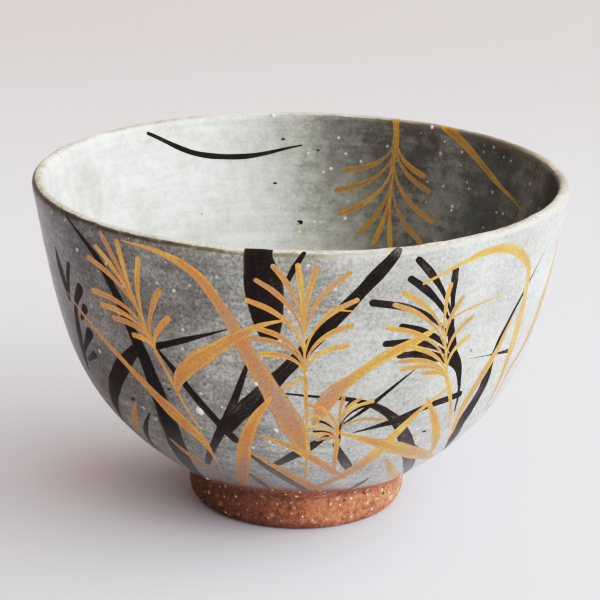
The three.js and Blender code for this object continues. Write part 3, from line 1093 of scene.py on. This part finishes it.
def throwing_tree(paints):
    """Wraps the flat sheet round the section, as the wheel turns the clay, and roughens it."""
    tree, given = new_tree(
        "Throw the bowl", sheet="Geometry", section="Object", sheet_radius="Float",
        foot_height="Float", rim_height="Float", rim_wave_two="Float", rim_wave_three="Float",
        ring_depth="Float", ring_spacing="Float", lip_depth="Float", lip_spacing="Float",
        clay_depth="Float", clay_grain="Float", calm_radius="Float", join="Float")
    flat = apart(tree, result(tree, "GeometryNodeInputPosition"))
    turn = sums(tree, "DIVIDE", flat[0], given["sheet_radius"])
    sine, cosine = sums(tree, "SINE", turn), sums(tree, "COSINE", turn)
    line = node(tree, "GeometryNodeObjectInfo", {"Object": given["section"]}).outputs["Geometry"]
    sample = node(
        tree, "GeometryNodeSampleCurve", {"Curves": line, "Length": flat[1]}, mode="LENGTH")
    spot = apart(tree, sample.outputs["Position"])
    way = apart(tree, sample.outputs["Tangent"])

    share = rise(tree, spot[2], given["foot_height"], given["rim_height"])
    twice = sums(tree, "COSINE", product(tree, turn, 2.0))
    thrice = sums(tree, "COSINE", product(tree, turn, 3.0))
    wave = sums(tree, "MULTIPLY_ADD", twice, given["rim_wave_two"],
                product(tree, thrice, given["rim_wave_three"]))
    off_middle = rise(tree, spot[0], 0.0, given["calm_radius"])
    lift = product(tree, wave, share, off_middle)

    ring_place = together(tree, product(tree, sine, given["ring_spacing"]),
                          product(tree, cosine, given["ring_spacing"]), flat[1])
    round_place = together(tree, product(tree, sine, spot[0]), product(tree, cosine, spot[0]), flat[1])
    above_clay = mesh_value(tree, "above_clay")
    on_lip = rise(tree, sums(tree, "ABSOLUTE", mesh_value(tree, "from_lip")), *LIP_ROUND)
    bare = product(tree, rise(tree, above_clay, *CLAY_START), rise(tree, spot[2], *STAND_CLEAR))
    glazed = rise(tree, above_clay, *GLAZE_START)
    rings = uneven(tree, ring_place, given["ring_spacing"], given["ring_depth"])
    lumps = uneven(tree, round_place, given["lip_spacing"], given["lip_depth"])
    sand = uneven(tree, round_place, given["clay_grain"], given["clay_depth"])
    relief = sums(tree, "MULTIPLY_ADD", rings, glazed, product(tree, lumps, on_lip))
    relief = sums(tree, "MULTIPLY_ADD", sand, bare, relief)
    relief = product(tree, relief, off_middle)

    radius = sums(tree, "MULTIPLY_ADD", relief, way[2], spot[0])
    height = sums(tree, "SUBTRACT", sums(tree, "ADD", spot[2], lift), product(tree, relief, way[0]))
    place = together(tree, product(tree, radius, sine), product(tree, radius, cosine, -1.0), height)
    shape = result(
        tree, "GeometryNodeSetPosition", {"Geometry": given["sheet"], "Position": place})
    shape = result(
        tree, "GeometryNodeMergeByDistance", {"Geometry": shape, "Distance": given["join"]})
    shape = result(tree, "GeometryNodeSetShadeSmooth", {"Geometry": shape})
    shape = result(tree, "GeometryNodeRealizeInstances", {"Geometry": shape})
    for number, material in paints.items():
        shape = result(tree, "GeometryNodeSetMaterial", {
            "Geometry": shape, "Selection": is_paint(tree, number), "Material": material})
    node(tree, "NodeGroupOutput", {0: shape})
    return tree


def shaped_by(tree, mesh, name, **inputs):
    """The mesh with a geometry tree worked out on it, as a plain mesh object."""
    source = new_object(name, mesh)
    modifier = source.modifiers.new(tree.name, "NODES")
    modifier.node_group = tree
    set_inputs(modifier, inputs)
    graph = bpy.context.evaluated_depsgraph_get()
    plain_mesh = bpy.data.meshes.new_from_object(
        source.evaluated_get(graph), preserve_all_data_layers=True, depsgraph=graph)
    bpy.data.objects.remove(source)
    plain_mesh.name = name
    return new_object(name, plain_mesh)


section_curve = bpy.data.curves.new("bowl_section", "CURVE")
section_curve.dimensions = "3D"
section_spline = section_curve.splines.new("POLY")
section_spline.points.add(len(section) - 1)
for point, (radius, height) in zip(section_spline.points, section):
    point.co = (radius * MM, 0.0, height * MM, 1.0)
section_object = new_object("bowl_section", section_curve)

bowl_paints = {GLAZE: grey_glaze(), GOLD: gold_paint(), BLACK: black_paint(), CLAY: bare_clay()}
bowl = shaped_by(
    throwing_tree(bowl_paints), sheet_mesh, "tea_bowl_body", section=section_object,
    sheet_radius=SHEET_RADIUS * MM, foot_height=WALL_START.y * MM, rim_height=HEIGHT * MM,
    rim_wave_two=RIM_WAVE_TWO * MM, rim_wave_three=RIM_WAVE_THREE * MM,
    ring_depth=RING_DEPTH * MM, ring_spacing=RING_SPACING * MM, lip_depth=LIP_DEPTH * MM,
    lip_spacing=LIP_SPACING * MM, clay_depth=CLAY_DEPTH * MM, clay_grain=CLAY_GRAIN * MM,
    calm_radius=CALM_RADIUS * MM, join=JOIN * MM)
bpy.data.objects.remove(section_object)
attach(bowl, "root")
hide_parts("tea_bowl")

# Grains in the clay
# Pale feldspar grains in the stoneware that stand a little proud: many small ones on the bare
# clay of the foot, and a few larger ones that broke through the glaze.
GRAIN_GAP = 2.2
GRAIN_DENSITY = 0.35
SMALLEST_GRAIN = 0.14
LARGEST_GRAIN = 0.45
GRAIN_SINK = 0.5
GRAIN_SHAPE = (1.15, 0.85, 0.72)
GRAIN_SEED = 5
LOWEST_GRAIN = 1.5
GRAIN_SIDES = 8
GRAIN_RINGS = 6
GRAIN_RARITY = 3.0
GRAIN_TINT = 0.68
GRAIN_PALING = -0.25
FELDSPAR = [(0.0, (0.66, 0.62, 0.57)), (0.5, (0.56, 0.42, 0.31)), (1.0, (0.24, 0.20, 0.17))]
FELDSPAR_GRAIN = 0.0006
FELDSPAR_RELIEF = 0.0001
FELDSPAR_ROUGHNESS = (0.2, 0.4)
# The large grains: (across, down) in the photo, size, and tint from white to brown; the tint is
# darker where a grain lies in shade, inside on the right and on the foot's left, partly painted shade
LARGE_GRAINS = ((200, 411, 1.5, 0.0), (276, 430, 0.9, 0.1), (256, 384, 0.8, 0.1),
                (222, 407, 0.5, 0.1), (207, 478, 0.8, 0.3), (209, 493, 0.6, 0.7),
                (236, 497, 0.5, 0.6), (296, 496, 0.7, 0.4), (268, 518, 0.5, 0.5),
                (307, 501, 0.5, 0.5), (325, 509, 0.5, 0.4), (351, 498, 0.6, 0.3),
                (367, 494, 0.5, 0.3), (382, 490, 0.5, 0.2), (60, 155, 0.9, 0.2),
                (75, 146, 0.7, 0.2), (273, 116, 0.8, 0.2), (432, 127, 0.6, 0.3),
                (440, 155, 1.0, 1.0), (426, 203, 0.5, 0.9), (432, 230, 0.5, 0.9),
                (298, 224, 0.5, 0.6))


def feldspar():
    """Feldspar, from white to tan and brown by the tint that each grain has."""
    material, tree, shader, place = new_material("feldspar")
    colour = shades(tree, kept(tree, "tint"), FELDSPAR)
    grain = noise(tree, place, FELDSPAR_GRAIN)
    rough = sums(tree, "MULTIPLY_ADD", grain, *FELDSPAR_ROUGHNESS)
    finish(tree, shader, colour, rough, grain, FELDSPAR_RELIEF)
    return material


def grain_tree(material):
    """Scatters small grains over the bowl's bare clay, and adds the larger ones it is given."""
    tree, given = new_tree(
        "Scatter the grains", large_grains="Geometry", bowl="Object", gap="Float",
        density="Float", smallest="Float", largest="Float", sink="Float", lowest="Float", seed="Int")
    body = node(tree, "GeometryNodeObjectInfo", {"Object": given["bowl"]}).outputs["Geometry"]
    height = apart(tree, result(tree, "GeometryNodeInputPosition"))[2]
    above = sums(tree, "GREATER_THAN", height, given["lowest"])
    chosen = product(tree, is_paint(tree, CLAY), above)
    scatter = node(tree, "GeometryNodeDistributePointsOnFaces", {
        "Mesh": body, "Selection": chosen, "Distance Min": given["gap"],
        "Density Max": given["density"], "Seed": given["seed"]}, distribute_method="POISSON")
    luck = node(tree, "FunctionNodeRandomValue", {"Seed": given["seed"]}).outputs[1]
    spread = sums(tree, "SUBTRACT", given["largest"], given["smallest"])
    rare = sums(tree, "POWER", luck, GRAIN_RARITY)
    size = sums(tree, "MULTIPLY_ADD", rare, spread, given["smallest"])
    depth = product(tree, size, given["sink"], -1.0)
    sunk = result(tree, "ShaderNodeVectorMath", {
        0: scatter.outputs["Normal"], "Scale": depth}, operation="SCALE")
    points = result(tree, "GeometryNodeSetPosition", {
        "Geometry": scatter.outputs["Points"], "Offset": sunk})
    tint = sums(tree, "MULTIPLY_ADD", luck, GRAIN_PALING, GRAIN_TINT)
    for name, value in (("size", size), ("tint", tint)):
        points = result(tree, "GeometryNodeStoreNamedAttribute", {
            "Geometry": points, "Name": name, "Value": value})
    large = result(tree, "GeometryNodeMeshToPoints", {"Mesh": given["large_grains"]})
    joined = node(tree, "GeometryNodeJoinGeometry")
    for part in (points, large):
        tree.links.new(part, joined.inputs[0])
    ball = node(tree, "GeometryNodeMeshUVSphere", {
        "Segments": GRAIN_SIDES, "Rings": GRAIN_RINGS, "Radius": 1.0})
    turns = result(tree, "FunctionNodeRandomValue", {
        0: (0.0, 0.0, 0.0), 1: (math.tau, math.tau, math.tau), "Seed": given["seed"]},
        data_type="FLOAT_VECTOR")
    sides = result(tree, "ShaderNodeVectorMath", {
        0: GRAIN_SHAPE, "Scale": mesh_value(tree, "size")}, operation="SCALE")
    shape = result(tree, "GeometryNodeInstanceOnPoints", {
        "Points": joined.outputs[0], "Instance": ball.outputs["Mesh"],
        "Rotation": turns, "Scale": sides})
    shape = result(tree, "GeometryNodeRealizeInstances", {"Geometry": shape})
    shape = result(tree, "GeometryNodeSetShadeSmooth", {"Geometry": shape})
    shape = result(tree, "GeometryNodeSetMaterial", {"Geometry": shape, "Material": material})
    node(tree, "NodeGroupOutput", {0: shape})
    return tree


grain_places = []
for across, down, size, _ in LARGE_GRAINS:
    place, normal = seen_at((across, down))
    grain_places.append(place - normal * size * GRAIN_SINK * MM)
large_grain_mesh = bpy.data.meshes.new("large_grains")
large_grain_mesh.from_pydata(grain_places, [], [])
for name, column, unit in (("size", 2, MM), ("tint", 3, 1.0)):
    large_grain_mesh.attributes.new(name, "FLOAT", "POINT").data.foreach_set(
        "value", [row[column] * unit for row in LARGE_GRAINS])
grains = shaped_by(
    grain_tree(feldspar()), large_grain_mesh, "feldspar_grains", bowl=bowl, gap=GRAIN_GAP * MM,
    density=GRAIN_DENSITY / MM ** 2, smallest=SMALLEST_GRAIN * MM, largest=LARGEST_GRAIN * MM,
    sink=GRAIN_SINK, lowest=LOWEST_GRAIN * MM, seed=GRAIN_SEED)
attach(grains, "root")

# Table and light
# A plain pale table that cools towards the front and is painted darker and warmer towards the back,
# painted shade for the light falling off; a wide soft window on the right, and warm light from the
# whole room, stronger from the right. The tones have a soft toe and a soft shoulder.
TABLE_HALF_SIDE = 4.0
TABLE_NEAR = (0.62, 0.615, 0.665)
TABLE_FAR_SHADED = (0.50, 0.45, 0.44)
TABLE_FADE = (0.1, 0.55)
TABLE_ROUGHNESS = 0.9
WINDOW_PLACE = Vector((1.9, -0.45, 1.3))
WINDOW_AIM = Vector((0.0, 0.0, 0.04))
WINDOW_WIDTH = 6.0
WINDOW_HEIGHT = 2.6
WINDOW_POWER = 205.0
WINDOW_COLOUR = (0.80, 0.92, 1.0)
ROOM_COLOUR = (1.0, 0.83, 0.73, 1.0)
ROOM_STRENGTH = 1.0
ROOM_MIDDLE = 0.8
ROOM_BRIGHT_WAY = (0.45, 0.0, 0.15)
BRIGHTEST = 2.0
ALL_COLOURS = 3
TONES = ((0.05, 0.032), (0.1, 0.072), (0.25, 0.235), (0.5, 0.52), (1.0, 0.79), (1.5, 0.93))

table_mesh = bpy.data.meshes.new("table")
table_corners = [(x * TABLE_HALF_SIDE, y * TABLE_HALF_SIDE, 0.0)
                 for x, y in ((-1, -1), (1, -1), (1, 1), (-1, 1))]
table_mesh.from_pydata(table_corners, [], [(0, 1, 2, 3)])
table = new_object("table", table_mesh)
paper, paper_tree, paper_shader, paper_place = new_material("pale_paper")
far = apart(paper_tree, paper_place)[1]
far_share = rise(paper_tree, far, *TABLE_FADE)
paper_colour = shades(paper_tree, far_share, [(0.0, TABLE_NEAR), (1.0, TABLE_FAR_SHADED)])
paper_tree.links.new(paper_colour, paper_shader.inputs["Base Color"])
paper_shader.inputs["Roughness"].default_value = TABLE_ROUGHNESS
table_mesh.materials.append(paper)

window_light = bpy.data.lights.new("window", "AREA")
window_light.shape = "RECTANGLE"
window_light.size = WINDOW_WIDTH
window_light.size_y = WINDOW_HEIGHT
window_light.energy = WINDOW_POWER
window_light.color = WINDOW_COLOUR
window = new_object("window", window_light)
window.location = WINDOW_PLACE
window.rotation_mode = "QUATERNION"
window.rotation_quaternion = (WINDOW_AIM - WINDOW_PLACE).to_track_quat("-Z", "Y")
room = bpy.data.worlds.new("room")
room.use_nodes = True
room_tree = room.node_tree
room_way = node(room_tree, "ShaderNodeTexCoord").outputs["Generated"]
room_lean = node(room_tree, "ShaderNodeVectorMath", {0: room_way, 1: ROOM_BRIGHT_WAY},
                 operation="DOT_PRODUCT").outputs["Value"]
room_strength = product(room_tree, sums(room_tree, "ADD", room_lean, ROOM_MIDDLE), ROOM_STRENGTH)
room_tree.nodes["Background"].inputs[0].default_value = ROOM_COLOUR
room_tree.links.new(room_strength, room_tree.nodes["Background"].inputs[1])
bpy.context.scene.world = room
view = bpy.context.scene.view_settings
view.view_transform = "Standard"
view.look = "None"
view.use_curve_mapping = True
view.curve_mapping.white_level = (BRIGHTEST, BRIGHTEST, BRIGHTEST)
for light, tone in TONES:
    view.curve_mapping.curves[ALL_COLOURS].points.new(light / BRIGHTEST, tone)
view.curve_mapping.update()
